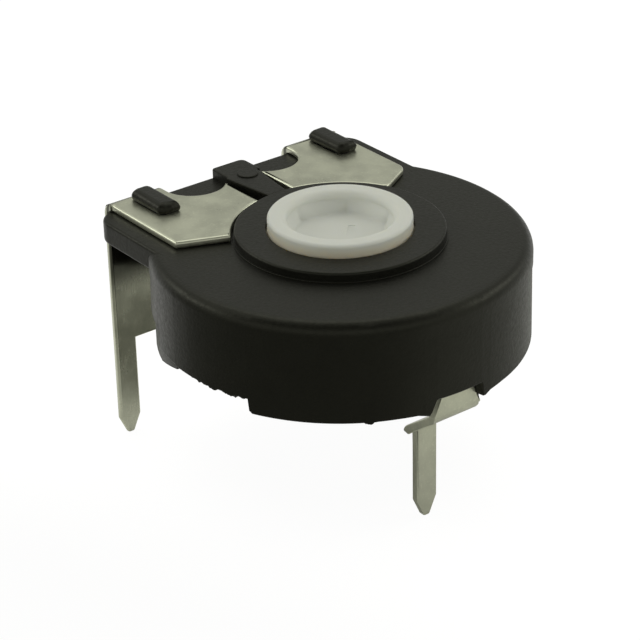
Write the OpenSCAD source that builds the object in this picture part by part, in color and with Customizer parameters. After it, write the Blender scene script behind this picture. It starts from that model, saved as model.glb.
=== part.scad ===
// Open carbon trimmer potentiometer for through-hole boards, adjusted from above.
// Millimetres. The rotor turns about Z, the board's top face is z = 0, the two end pins
// stand at +Y and the wiper pin at -Y.

/* [Housing] */
// Diameter of the round housing at its rim
body_d = 14.4; // [13.6:0.1:16]
// Height of the housing's feet above the board
standoff = 2.0; // [1.6:0.1:3]
// Height from the feet to the top of the deck
body_h = 4.0; // [3.9:0.1:5]
// Wall of the round skirt
skirt_wall = 0.9; // [0.8:0.05:1.1]
// Inward slope of the skirt's outside over its height
draft = 0.05; // [0:0.01:0.1]
// Thickness of the roof over the works
roof_t = 1.0; // [0.8:0.05:1.2]
// Radius on the roof's round edge
rim_round = 0.5; // [0.3:0.05:0.6]
// Height of the feet below the rim
foot_h = 0.6; // [0.4:0.05:0.8]
// Angle from the front to where the left foot begins
foot_left = 10.6; // [9:0.1:14]
// Angle from the front to where the right foot begins
foot_right = 8.9; // [8.5:0.1:14]
// Angle from the front to where each foot ends
foot_end = 65.5; // [50:0.1:70]

/* [Deck] */
// Width of the deck across its straight sides
deck_w = 12.3; // [11.8:0.1:13.2]
// Distance from the axis to the deck's rear edge
deck_rear = 7.4; // [7.2:0.05:8]
// Thickness of the deck's overhanging rear
deck_t = 0.9; // [0.7:0.05:1.1]
// Radius of the deck's upright rear corners
deck_corner = 0.9; // [0.5:0.05:1.1]
// Small radius along the deck's straight top edges
deck_edge = 0.12; // [0.05:0.01:0.2]
// Bevel under the bends of the end terminals
deck_bevel = 0.18; // [0.16:0.01:0.25]
// Radius of the raised ring round the rotor
flange_r = 3.98; // [3.8:0.02:4.1]
// Height of the raised ring above the deck
flange_h = 0.4; // [0.36:0.02:0.6]
// Width of the low step at the ring's foot
flange_step = 0.06; // [0.03:0.01:0.08]
// Width of the web where it leaves the ring
web_w = 0.84; // [0.7:0.02:1.3]
// Width of the block at the web's rear end
block_w = 1.54; // [1.4:0.02:1.6]
// Length of the block along the web
block_l = 1.16; // [1:0.02:1.2]
// Distance from the middle of the deck to the middle of the block
block_side = 0.11; // [0:0.01:0.15]
// Radius of the round pad on the web
pad_r = 0.42; // [0.36:0.02:0.5]
// Height of the round pad above the block
pad_rise = 0.06; // [0.03:0.01:0.08]
// Height of the front notch's roof above the feet
notch_h = 0.45; // [0.3:0.05:0.55]

/* [Heat-staked heads] */
// Length of each staked head
stake_l = 2.4; // [2.2:0.05:2.5]
// Width of each staked head
stake_w = 1.1; // [1:0.05:1.2]
// Height of each staked head above the sheet
stake_h = 0.46; // [0.3:0.02:0.6]
// Distance from the axis to the middle of each head
stake_y = 6.05; // [5.8:0.05:6.1]
// How far each head laps over its slot
stake_lap = 0.12; // [0.08:0.01:0.2]

/* [Pins] */
// Spacing of the two end pins
pin_pitch = 10; // [9.6:0.05:10.4]
// Distance from the row of end pins to the wiper pin
pin_row = 12.5; // [12.3:0.05:12.7]
// Width of each pin
pin_w = 0.95; // [0.85:0.01:1.1]
// Thickness of the terminals' sheet
sheet_t = 0.3; // [0.25:0.01:0.35]
// Length of the end pins below the board's top face
pin_l = 4.0; // [3:0.1:5]
// Length of the wiper pin below the board's top face
wiper_pin_l = 3.88; // [3:0.02:5]
// Length of the taper at each pin's tip
tip_l = 0.75; // [0.5:0.05:1]
// Width of each pin's blunt end
tip_w = 0.26; // [0.2:0.02:0.5]
// Middle radius of the sharp bends
bend_r = 0.35; // [0.3:0.01:0.4]

/* [End terminals] */
// Width of the blade above the board
blade_w = 2.45; // [2.2:0.05:2.6]
// Height of the end terminals' shoulders above the board
end_shoulder = 0.15; // [0:0.01:0.3]
// Radius of the scoop behind each plate
scoop_r = 1.24; // [1.1:0.02:1.3]
// Distance from the middle of the deck to each plate's inner edge
plate_in = 0.85; // [0.85:0.01:1]
// Distance from the axis to the left plate's outer front corner
left_front = 2.95; // [2.8:0.05:3.4]
// Angle at which the left plate's front edge slants
left_slant = 22.8; // [18:0.1:30]
// Radius of the left plate's outer front corner
left_round = 0.1; // [0.06:0.01:0.2]
// Distance from the axis to the right plate's outer front corner
right_front = 2.76; // [2.6:0.02:3.2]
// Angle at which the right plate's front edge slants
right_slant = 30.1; // [24:0.1:34]
// Radius of the right plate's outer front corner
right_round = 0.55; // [0.3:0.05:0.7]
// Radius of the right plate's corner beside the raised ring
right_inner_round = 0.25; // [0.1:0.01:0.3]
// Length of the tongue that reaches the element
tongue_l = 1.2; // [0.8:0.05:1.4]

/* [Wiper terminal] */
// Width of the strip inside and in the notch
strip_w = 2.16; // [1.9:0.02:2.3]
// Width of the strip at its board shoulders
shoulder_w = 1.82; // [1.6:0.02:2]
// How far the strip's outer face lies inside the skirt
strip_inset = 0.48; // [0.42:0.01:0.52]
// Height above the board where the strip turns inwards
joggle_z = 1.33; // [1.2:0.01:1.6]
// Inner radius of the collector ring
ring_in = 2.05; // [2:0.05:2.2]
// Outer radius of the collector ring
ring_out = 3.25; // [3.1:0.05:3.4]

/* [Rotor] */
// Radius of the rotor's collar
collar_r = 2.73; // [2.6:0.01:2.76]
// Radius of the journal that turns in the roof's hole
journal_r = 2.8; // [2.78:0.01:2.86]
// Height of the collar above the raised ring
collar_h = 0.5; // [0.4:0.02:0.7]
// Radius of the cup's mouth inside its rounded lip
cup_r = 2.0; // [1.9:0.02:2.1]
// Radius of the rounded lip
lip_r = 0.3; // [0.2:0.02:0.35]
// Depth of the cup below the collar's top
cup_depth = 0.85; // [0.75:0.01:1]
// Width across the flats of the six-sided socket
hex_af = 3.3; // [3:0.05:3.4]
// Height of the six-sided walls above the cup's floor
hex_h = 0.5; // [0.4:0.01:0.55]
// Width of the index slot in the cup's floor
slot_w = 0.4; // [0.3:0.02:0.5]
// Length of the index slot
slot_l = 1.1; // [0.8:0.05:1.3]
// Depth of the index slot
slot_depth = 0.5; // [0.3:0.05:0.8]
// Distance of the index slot to the side of the axis
slot_side = 0.5; // [0.4:0.02:0.6]
// Width of the screwdriver slot in the stub's underside
drive_w = 0.6; // [0.5:0.02:0.8]
// Direction of the socket at rest, turned from +X
rest_angle = 45; // [40:1:50]
// Thickness of the rotor's disc
disc_t = 0.45; // [0.4:0.01:0.55]
// Radius of the stub that turns in the cover
stub_r = 1.5; // [1.3:0.05:1.6]
// Turning range between the stops
travel = 265; // [240:1:280]
// Angle that the stop lug covers
lug_span = 12; // [8:1:16]
// Angle left between lug and stop at each end
stop_gap = 0.5; // [0.3:0.1:1]

/* [Element] */
// Thickness of the element's base
base_t = 0.6; // [0.5:0.02:0.7]
// Thickness of the printed layers
print_t = 0.04; // [0.03:0.01:0.06]
// Width of the carbon track
track_w = 1.1; // [0.9:0.05:1.3]
// Angle that the carbon track covers
track_span = 230; // [210:1:240]
// Thickness of the wiper's spring strip
spring_t = 0.15; // [0.12:0.01:0.18]
// Width of the wiper's spring strip
spring_w = 1.2; // [1:0.05:1.4]

/* [Bottom cover] */
// Thickness of the bottom cover
cover_t = 0.6; // [0.5:0.05:0.7]
// Width of the ledge that the cover seats on
ledge_w = 0.2; // [0.15:0.01:0.25]
// Radius of the peg that holds the collector strip
peg_r = 0.4; // [0.3:0.02:0.5]

/* [Fits] */
// Radial clearance of the turning fits
run_fit = 0.05; // [0.03:0.01:0.08]
// Clearance between pieces that are pushed together
slip_fit = 0.05; // [0.03:0.01:0.08]
// Gap under each sliding contact and shoulder
slide_gap = 0.02; // [0.01:0.005:0.03]
// Gap between the raised parts and the plates beside them
plate_gap = 0.1; // [0.08:0.01:0.12]
// Gap between the deck's rear edge and the legs behind it
leg_gap = 0.075; // [0.03:0.005:0.1]

/* [Hidden] */
$fn = 96;
// Length by which a cutting shape passes through what it cuts.
over = 1;
// Length by which joined shapes run into each other.
sink = 0.02;

// Heights, from the board's top face up.
foot_z = standoff;
rim_z = foot_z + foot_h;
deck_z = foot_z + body_h;
roof_z = deck_z - roof_t;
band_z = deck_z - deck_t;
flange_z = deck_z + flange_h;
plate_z = deck_z + sheet_t;
collar_z = flange_z + collar_h;
cup_z = collar_z - cup_depth;
base_z = roof_z - base_t;
track_z = base_z - print_t;
cover_z = rim_z - 0.25;
cover_top = cover_z + cover_t;
ring_top = cover_top + sheet_t;
disc_z = ring_top + spring_t + 0.1;
disc_top = disc_z + disc_t;

// Plan sizes.
body_r = body_d / 2;
body_top_r = body_r - draft;
cavity_r = body_r - skirt_wall;
base_r = cavity_r - slip_fit;
shoulder_r = journal_r + 0.25;
base_hole = shoulder_r + 0.25;
disc_r = cavity_r - 1.0;
stop_in = disc_r + 0.25;
lug_r = cavity_r - 0.3;
track_r = disc_r - 0.15;
cover_r = cavity_r + ledge_w - slip_fit;
boss_r = ring_in - 0.15;
riser_r = shoulder_r + 0.2;

// Terminals.
leg_out = pin_pitch / 2 + pin_w / 2;
leg_in = leg_out - blade_w;
leg_y = deck_rear + leg_gap + sheet_t / 2;
wiper_y = leg_y - pin_row;
plate_out = leg_out - 0.05;
plate_arc = flange_r + plate_gap;
stake_x = (leg_out + leg_in) / 2;
scoop_y = leg_y - bend_r - 0.3;
block_rear = deck_rear - 0.02;
block_front = block_rear - block_l;
plate_mid = deck_z + sheet_t / 2;
strip_mid = cover_top + sheet_t / 2;
drop_y = -(body_r - strip_inset - sheet_t / 2);
tongue_y = cavity_r - 1.2;
foot_tab = 0.75;
peg_y = -(ring_out + peg_r + 0.6);
clinch_t = 0.18;
clinch_l = 1.3;

// Angles of the stop: the lug rests opposite the wiper.
stop_half = (360 - travel - lug_span) / 2 - stop_gap;
pad_gap = 34;

// Unit vector from one point to another.
function unit(a, b) = (b - a) / norm(b - a);

// Piece of a ring, from angle a0 over span degrees.
module ring_piece(inner, outer, z0, z1, a0, span) {
    rotate([0, 0, a0])
        rotate_extrude(angle = span)
            translate([inner, z0])
                square([outer - inner, z1 - z0]);
}

// Flat outline of a straight run of bent strip.
module strip_run(p, q, t) {
    d = unit(p, q);
    n = [-d[1], d[0]] * t / 2;
    e = d * 0.002;
    polygon([p - e + n, q + e + n, q + e - n, p - e - n]);
}

// Flat outline of one bend of a strip, with middle radius r, at corner b between a and c.
module strip_bend(a, b, c, t, r) {
    u = unit(b, a);
    v = unit(b, c);
    half = acos(u * v) / 2;
    centre = b + (u + v) / norm(u + v) * r / sin(half);
    start = b + u * r / tan(half);
    finish = b + v * r / tan(half);
    reach = 2.5;
    intersection() {
        translate(centre)
            difference() {
                circle(r = r + t / 2);
                circle(r = r - t / 2);
            }
        polygon([
            centre,
            centre + (start - centre) * reach,
            centre + (b - centre) * reach,
            centre + (finish - centre) * reach
        ]);
    }
}

// Outline of a strip of thickness t bent along the path, with one middle radius per inner corner.
module strip_outline(path, t, radii) {
    last = len(path) - 1;
    trims = [
        for (i = [0 : last])
            i == 0 || i == last ? 0 :
                radii[i - 1] / tan(acos(unit(path[i], path[i - 1]) * unit(path[i], path[i + 1])) / 2)
    ];
    for (i = [0 : last - 1]) {
        d = unit(path[i], path[i + 1]);
        strip_run(path[i] + d * trims[i], path[i + 1] - d * trims[i + 1], t);
    }
    for (i = [1 : last - 1])
        strip_bend(path[i - 1], path[i], path[i + 1], t, radii[i - 1]);
}

// Sideways step to the edge of a thin strip at corner i of its path.
function edge_step(path, i, t) =
    let (
        last = len(path) - 1,
        u = i > 0 ? unit(path[i - 1], path[i]) : unit(path[0], path[1]),
        v = i < last ? unit(path[i], path[i + 1]) : u,
        m = [-u[1] - v[1], u[0] + v[0]]
    )
    m / (m * [-u[1], u[0]]) * t / 2;

// Outline of a thin strip of thickness t with plain corners along the path.
module thin_strip(path, t) {
    last = len(path) - 1;
    polygon(concat(
        [for (i = [0 : last]) path[i] + edge_step(path, i, t)],
        [for (i = [last : -1 : 0]) path[i] - edge_step(path, i, t)]
    ));
}

// Stand a flat (y, z) outline up and give it a width w across X.
module across(w) {
    rotate([90, 0, 90])
        translate([0, 0, -w / 2])
            linear_extrude(w)
                children();
}

// Stand a flat (x, z) outline up and extrude it along Y from y0 to y1.
module along(y0, y1) {
    translate([0, y1, 0])
        rotate([90, 0, 0])
            linear_extrude(y1 - y0)
                children();
}

// Outline, in (x, z), of a pin centred on x from height top down to its tip at depth below.
module pin_outline(x, top, depth) {
    translate([x, 0])
        polygon([
            [-pin_w / 2, top],
            [-pin_w / 2, tip_l - depth],
            [-tip_w / 2, -depth],
            [tip_w / 2, -depth],
            [pin_w / 2, tip_l - depth],
            [pin_w / 2, top]
        ]);
}

// Round part of the housing: skirt and roof in one turned profile.
module drum() {
    rotate_extrude($fn = 180)
        difference() {
            union() {
                polygon([
                    [0, rim_z],
                    [body_r, rim_z],
                    [body_top_r, band_z],
                    [body_r, band_z],
                    [body_r, deck_z - rim_round],
                    [body_r - rim_round, deck_z - rim_round],
                    [body_r - rim_round, deck_z],
                    [0, deck_z]
                ]);
                intersection() {
                    translate([body_r - rim_round, deck_z - rim_round])
                        circle(r = rim_round, $fn = 48);
                    translate([body_r - rim_round, deck_z - rim_round])
                        square(rim_round);
                }
            }
            translate([-over, rim_z - over])
                square([over + cavity_r, roof_z - rim_z + over]);
            translate([-over, rim_z - over])
                square([over + cavity_r + ledge_w, cover_top - rim_z + over]);
        }
}

// Overhanging rear of the deck, with small rounds on its long edges and upright corners.
module rear_deck() {
    front = 2.4;
    intersection() {
        along(front, deck_rear) {
            translate([-deck_w / 2, band_z])
                square([deck_w, deck_t - deck_edge]);
            translate([-deck_w / 2 + deck_edge, band_z])
                square([deck_w - 2 * deck_edge, deck_t]);
            for (side = [-1, 1])
                translate([side * (deck_w / 2 - deck_edge), deck_z - deck_edge])
                    circle(r = deck_edge, $fn = 32);
        }
        translate([0, 0, band_z - over])
            linear_extrude(deck_t + 2 * over) {
                translate([-deck_w / 2, front])
                    square([deck_w, deck_rear - deck_corner - front]);
                translate([-deck_w / 2 + deck_corner, front])
                    square([deck_w - 2 * deck_corner, deck_rear - front]);
                for (side = [-1, 1])
                    translate([side * (deck_w / 2 - deck_corner), deck_rear - deck_corner])
                        circle(r = deck_corner, $fn = 32);
            }
    }
}

// Raised ring, web and stop block on top of the deck.
module raised_parts() {
    edge = 0.07;
    rotate_extrude($fn = 128)
        polygon([
            [0, deck_z - sink],
            [flange_r + flange_step, deck_z - sink],
            [flange_r + flange_step, deck_z + flange_step],
            [flange_r, deck_z + flange_step],
            [flange_r, flange_z - edge],
            [flange_r - edge, flange_z],
            [0, flange_z]
        ]);
    round_r = 0.2;
    half = block_w / 2;
    web_half = plate_in - plate_gap;
    translate([0, 0, deck_z - sink])
        linear_extrude(flange_h + sink) {
            polygon([
                [-web_w / 2, 0],
                [web_w / 2, 0],
                [web_w / 2, flange_r],
                [web_half, block_front + sink],
                [-web_half, block_front + sink],
                [-web_w / 2, flange_r]
            ]);
            translate([block_side - half, block_front])
                square([block_w, block_l - round_r]);
            translate([block_side - half + round_r, block_front])
                square([block_w - 2 * round_r, block_l]);
            for (side = [-1, 1])
                translate([block_side + side * (half - round_r), block_rear - round_r])
                    circle(r = round_r, $fn = 32);
        }
    translate([block_side, block_front - pad_r * 0.4, flange_z - sink])
        cylinder(r = pad_r, h = pad_rise + sink, $fn = 48);
}

// One oblong staked head with rounded shoulders, and the stem below it.
module stake() {
    shoulder = stake_h * 0.7;
    half = stake_w / 2;
    run = stake_l - stake_w;
    stem_w = stake_w - 2 * stake_lap;
    top = plate_z + stake_h;
    for (end = [-1, 1])
        translate([0, end * run / 2, 0])
            rotate_extrude($fn = 48)
                stake_half(half, shoulder, top);
    along(-run / 2, run / 2)
        for (side = [0, 1])
            mirror([side, 0])
                stake_half(half, shoulder, top);
    for (end = [-1, 1])
        translate([0, end * run / 2, deck_z - sink])
            cylinder(d = stem_w, h = sheet_t + 2 * sink);
    translate([-stem_w / 2, -run / 2, deck_z - sink])
        cube([stem_w, run, sheet_t + 2 * sink]);
}

// Half section of a staked head, right of its middle.
module stake_half(half, shoulder, top) {
    translate([0, plate_z])
        square([half, stake_h - shoulder]);
    translate([0, plate_z])
        square([half - shoulder, stake_h]);
    intersection() {
        translate([half - shoulder, top - shoulder])
            circle(r = shoulder, $fn = 32);
        translate([half - shoulder, top - shoulder])
            square(shoulder);
    }
}

// Slot through which a terminal's tongue passes; grow is its clearance all round.
module tongue_slot(side, grow, z0, z1) {
    x0 = plate_in - grow;
    translate([side > 0 ? x0 : -x0 - sheet_t - 2 * grow, tongue_y - tongue_l / 2 - grow, z0])
        cube([sheet_t + 2 * grow, tongue_l + 2 * grow, z1 - z0]);
}

// One-piece moulded housing: drum, deck, feet, stop and staked heads.
module housing() {
    foot_in = cavity_r + ledge_w + sink;
    color([0.20, 0.20, 0.18])
        difference() {
            union() {
                drum();
                rear_deck();
                raised_parts();
                ring_piece(foot_in, body_r - sink, foot_z, rim_z + sink,
                    -90 + foot_right, foot_end - foot_right);
                ring_piece(foot_in, body_r - sink, foot_z, rim_z + sink,
                    -90 - foot_end, foot_end - foot_left);
                ring_piece(foot_in, body_r - 2 * sink, foot_z + notch_h, rim_z + sink,
                    -90 - foot_left - 0.5, foot_left + foot_right + 1);
                ring_piece(stop_in, cavity_r + sink, disc_z, disc_top + 0.3,
                    -90 - stop_half, 2 * stop_half);
                for (side = [-1, 1])
                    translate([side * stake_x, stake_y, 0])
                        stake();
            }
            translate([0, 0, rim_z])
                cylinder(r = journal_r + run_fit, h = collar_z);
            for (side = [-1, 1])
                tongue_slot(side, slip_fit, roof_z - over, deck_z + flange_h + over);
            wiper_pocket();
            rear_bevel();
            for (side = [0, 1])
                mirror([side, 0, 0])
                    cover_foot_space();
        }
}

// Pocket inside the skirt for the wiper strip, open to the front below the rim.
module wiper_pocket() {
    w = strip_w + 4 * slip_fit;
    back = body_r - strip_inset + slip_fit;
    translate([-w / 2, -back, rim_z - over])
        cube([w, back - cavity_r + over, ring_top + slip_fit - rim_z + over]);
}

// Bevel along the rear top edge where the end terminals bend down.
module rear_bevel() {
    for (side = [-1, 1])
        translate([side * stake_x, deck_rear, deck_z])
            rotate([45, 0, 0])
                cube([blade_w + 0.5, deck_bevel * sqrt(2), deck_bevel * sqrt(2)], center = true);
}

// Cut in the skirt's rear quarter, in two heights, for the cover's foot.
module cover_foot_space() {
    ring_piece(cavity_r - over, body_r + over, rim_z - over, rim_z + foot_tab + slip_fit, 19, 20);
    ring_piece(cavity_r - over, body_r + over, rim_z - over, rim_z + 0.05, 6, 13 + sink);
}

// Bottom cover with its rotor bearing, peg and two rear feet.
module bottom_cover() {
    color([0.13, 0.13, 0.12]) {
        difference() {
            union() {
                translate([0, 0, cover_z])
                    cylinder(r = cover_r, h = cover_t);
                for (side = [0, 1])
                    mirror([side, 0, 0])
                        cover_foot();
                translate([0, peg_y, cover_z])
                    cylinder(r = peg_r, h = ring_top + 0.12 - cover_z, $fn = 32);
            }
            translate([0, 0, cover_z - over])
                cylinder(r = stub_r + run_fit, h = cover_t + 2 * over);
            translate([-strip_w, -body_r - over, cover_z - over])
                cube([2 * strip_w, over + strip_inset + sheet_t + slip_fit, cover_t + 2 * over]);
            translate([0, 0, cover_z - sink])
                rotate_extrude()
                    translate([cover_r - 1.6, 0])
                        square([0.5, 0.15 + sink]);
        }
    }
}

// One rear foot of the cover, flush with the skirt, its lower edge rising towards the front.
module cover_foot() {
    inset = 0.12;
    first = 7;
    low_span = 12.5;
    tall_span = 19;
    rise = 0.4;
    run = 1.55;
    slope = rise / run;
    difference() {
        ring_piece(cover_r - 0.1, body_r - inset, foot_z, rim_z + foot_tab,
            first, low_span + tall_span);
        ring_piece(cover_r - over, body_r + over, rim_z - sink, deck_z,
            first - 5, low_span + 5);
        rotate([0, 0, first])
            translate([cover_r - over, 0, 0])
                rotate([90, 0, 90])
                    linear_extrude(3)
                        polygon([
                            [-over, foot_z - over],
                            [-over, foot_z + rise + slope * over],
                            [run + over, foot_z - slope * over],
                            [run + over, foot_z - over]
                        ]);
    }
}

// Rotor: collar with its cup and socket, shoulder, disc, stop lug and bearing stub.
module rotor() {
    color([0.90, 0.90, 0.87])
        rotate([0, 0, rest_angle])
            difference() {
                union() {
                    rotate_extrude()
                        rotor_section();
                    ring_piece(disc_r - sink, lug_r, disc_z, disc_top, -lug_span / 2, lug_span);
                }
                translate([0, 0, cup_z])
                    cylinder(d = hex_af / cos(30), h = collar_z, $fn = 6);
                rotor_funnel();
                translate([0, -slot_side - slot_w / 2, cup_z - slot_depth])
                    cube([slot_l, slot_w, slot_depth + over]);
                translate([-stub_r * 0.8, -drive_w / 2, cover_z - over])
                    cube([stub_r * 1.6, drive_w, over + 0.4]);
                spring_opening();
            }
}

// Opening in the rotor's disc through which the wiper spring passes.
module spring_opening() {
    rotate([0, 0, 180])
        translate([riser_r - spring_t / 2 - slip_fit, -spring_w / 2 - slip_fit, disc_z - over])
            cube([spring_t + 2 * slip_fit, spring_w + 2 * slip_fit, disc_t + 2 * over]);
}

// Half section of the rotor, right of its axis.
module rotor_section() {
    corner = 0.15;
    lead = 0.04;
    difference() {
        union() {
            translate([0, roof_z - slide_gap - sink])
                square([journal_r, flange_z + lead - roof_z + slide_gap + sink]);
            translate([0, flange_z])
                square([collar_r, collar_z - corner - flange_z]);
            translate([0, collar_z - corner - sink])
                square([collar_r - corner, corner + sink]);
            intersection() {
                translate([collar_r - corner, collar_z - corner])
                    circle(r = corner, $fn = 32);
                translate([collar_r - corner, collar_z - corner])
                    square(corner);
            }
            translate([0, disc_z])
                square([shoulder_r, roof_z - slide_gap - disc_z]);
            translate([0, disc_z])
                square([disc_r, disc_t]);
            translate([0, cover_top + slide_gap])
                square([boss_r, disc_z - cover_top]);
            translate([0, cover_z])
                square([stub_r, disc_z - cover_z]);
        }
        translate([-over, cup_z + hex_h])
            square([over + cup_r, collar_z]);
        difference() {
            translate([cup_r - sink, collar_z - lip_r])
                square([lip_r + sink, lip_r + over]);
            translate([cup_r + lip_r, collar_z - lip_r])
                circle(r = lip_r, $fn = 48);
        }
    }
}

// Cone that blends the round mouth into the six-sided socket.
module rotor_funnel() {
    wall = 0.1;
    translate([0, 0, cup_z + wall])
        cylinder(r1 = hex_af / 2, r2 = cup_r, h = hex_h - wall + sink, $fn = 96);
}

// Wiper spring that turns with the rotor: lower end on the collector, upper end on the track.
module wiper_contact() {
    low = ring_top + slide_gap + spring_t / 2;
    rest = disc_top + spring_t / 2;
    high = track_z - slide_gap - spring_t / 2;
    slit_w = 0.2;
    path = [
        [ring_in + 0.3, low],
        [riser_r, low],
        [riser_r, rest],
        [track_r - 0.75, rest],
        [track_r - 0.45, high],
        [track_r + 0.2, high]
    ];
    color([0.72, 0.60, 0.34])
        rotate([0, 0, rest_angle + 180 - 90])
            difference() {
                across(spring_w)
                    thin_strip(path, spring_t);
                translate([-slit_w / 2, track_r - 0.7, disc_top - over])
                    cube([slit_w, 2, 3]);
            }
}

// Paper-laminate base of the element, under the roof.
module element_base() {
    color([0.45, 0.27, 0.14])
        difference() {
            translate([0, 0, base_z])
                cylinder(r = base_r, h = base_t);
            translate([0, 0, base_z - over])
                cylinder(r = base_hole, h = base_t + 2 * over);
            for (side = [-1, 1])
                tongue_slot(side, slip_fit, base_z - over, roof_z + over);
        }
}

// Printed carbon track, a horseshoe open towards the end pins.
module carbon_track() {
    color([0.07, 0.07, 0.07])
        ring_piece(track_r - track_w / 2, track_r + track_w / 2, track_z, base_z,
            -90 - track_span / 2, track_span);
}

// Silvered pads that join the track's two ends to the tongues.
module end_pads() {
    span = (360 - track_span - pad_gap) / 2;
    color([0.75, 0.75, 0.72])
        for (side = [0, 1])
            mirror([side, 0, 0])
                ring_piece(track_r - track_w / 2, track_r + track_w / 2, track_z, base_z,
                    -90 + track_span / 2, span);
}

// What a round of centre c and radius r takes off the corner v between its ends a and b.
module corner_cut(c, r, a, v, b) {
    difference() {
        polygon([c, a, v + (v - c) * 0.3, b]);
        translate(c)
            circle(r = r, $fn = 48);
    }
}

// Flat outline of an end terminal's plate, on the +X side: y of its outer front corner,
// slant of its front edge, and the radii of its outer and inner front corners.
module plate_outline(front, slant, outer, inner) {
    bend_y = leg_y - bend_r;
    corner = [plate_out, front];
    along_edge = [-cos(slant), -sin(slant)];
    inward = [-sin(slant), cos(slant)];
    outer_c = [plate_out - outer, front + outer * (1 - sin(slant)) / cos(slant)];
    start = corner + inward * inner;
    lead = start * along_edge;
    inner_c = start + along_edge * (-lead - sqrt(lead * lead - start * start + pow(plate_arc + inner, 2)));
    run = (inner_c - start) * along_edge;
    tip = corner + along_edge * (run + inner);
    difference() {
        polygon([
            [plate_out, bend_y],
            corner,
            [0, front - plate_out * tan(slant)],
            [0, bend_y]
        ]);
        corner_cut(outer_c, outer, [plate_out, outer_c[1]], corner, outer_c - inward * outer);
        corner_cut(inner_c, inner, inner_c - inward * inner, tip, inner_c * plate_arc / norm(inner_c));
        circle(r = plate_arc);
        translate([-over, -over - 3])
            square([plate_in + over, 3 * leg_y]);
        translate([-over, block_front - plate_gap])
            square([over + block_side + block_w / 2 + plate_gap, 3]);
        translate([leg_in - scoop_r, scoop_y])
            circle(r = scoop_r, $fn = 64);
        translate([-over, scoop_y])
            square([leg_in + over, 3]);
        stake_slot();
    }
}

// Slot in the plate for the stem of a staked head.
module stake_slot() {
    w = stake_w - 2 * stake_lap + 2 * slip_fit;
    run = stake_l - stake_w;
    for (end = [-1, 1])
        translate([stake_x, stake_y + end * run / 2])
            circle(d = w, $fn = 48);
    translate([stake_x - w / 2, stake_y - run / 2])
        square([w, run]);
}

// End terminal on the +X side: plate from the child outline, bend, blade, pin and tongue.
module end_terminal() {
    bend_y = leg_y - bend_r;
    mid_x = (leg_in + leg_out) / 2;
    translate([0, 0, deck_z])
        linear_extrude(sheet_t)
            children();
    intersection() {
        translate([mid_x, 0, 0])
            across(blade_w)
                strip_outline([[bend_y - sink, plate_mid], [leg_y, plate_mid], [leg_y, -pin_l]],
                    sheet_t, [bend_r]);
        along(bend_y - over, leg_y + over)
            union() {
                translate([leg_in, end_shoulder])
                    square([blade_w, deck_z + over]);
                pin_outline(pin_pitch / 2, end_shoulder + sink, pin_l);
            }
    }
    tongue();
}

// Tongue bent down from the plate's inner edge and clinched under the element's base.
module tongue() {
    foot = track_z - clinch_t;
    translate([plate_in, tongue_y - tongue_l / 2, foot])
        cube([sheet_t, tongue_l, plate_z - foot]);
    translate([plate_in, tongue_y - tongue_l / 2, foot])
        cube([clinch_l, tongue_l, clinch_t]);
}

module terminal_right() {
    color([0.70, 0.70, 0.63])
        end_terminal()
            plate_outline(right_front, right_slant, right_round, right_inner_round);
}

module terminal_left() {
    color([0.70, 0.70, 0.63])
        mirror([1, 0, 0])
            end_terminal()
                plate_outline(left_front, left_slant, left_round, left_round / 2);
}

// Wiper terminal: collector ring, strip through the skirt, inward joggle, shoulders and pin.
module wiper_terminal() {
    path = [
        [-ring_in - 0.3, strip_mid],
        [drop_y, strip_mid],
        [drop_y, joggle_z],
        [wiper_y, 0.12],
        [wiper_y, -wiper_pin_l]
    ];
    color([0.70, 0.70, 0.63])
        difference() {
            union() {
                difference() {
                    translate([0, 0, cover_top])
                        cylinder(r = ring_out, h = sheet_t);
                    translate([0, 0, cover_top - over])
                        cylinder(r = ring_in, h = sheet_t + 2 * over);
                }
                intersection() {
                    across(strip_w)
                        strip_outline(path, sheet_t, [bend_r, bend_r, bend_r]);
                    along(-body_r - over, -ring_in)
                        wiper_front();
                }
            }
            translate([0, peg_y, cover_top - over])
                cylinder(r = peg_r + slip_fit, h = sheet_t + 2 * over, $fn = 32);
        }
}

// Front outline, in (x, z), of the wiper terminal.
module wiper_front() {
    polygon([
        [-strip_w / 2, ring_top + over],
        [-strip_w / 2, joggle_z],
        [-shoulder_w / 2, 0],
        [shoulder_w / 2, 0],
        [strip_w / 2, joggle_z],
        [strip_w / 2, ring_top + over]
    ]);
    pin_outline(0, sink, wiper_pin_l);
}

housing();
bottom_cover();
rotor();
wiper_contact();
element_base();
carbon_track();
end_pads();
terminal_left();
terminal_right();
wiper_terminal();
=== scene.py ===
import math

import bmesh
import bpy
from mathutils import Matrix, Vector


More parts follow.
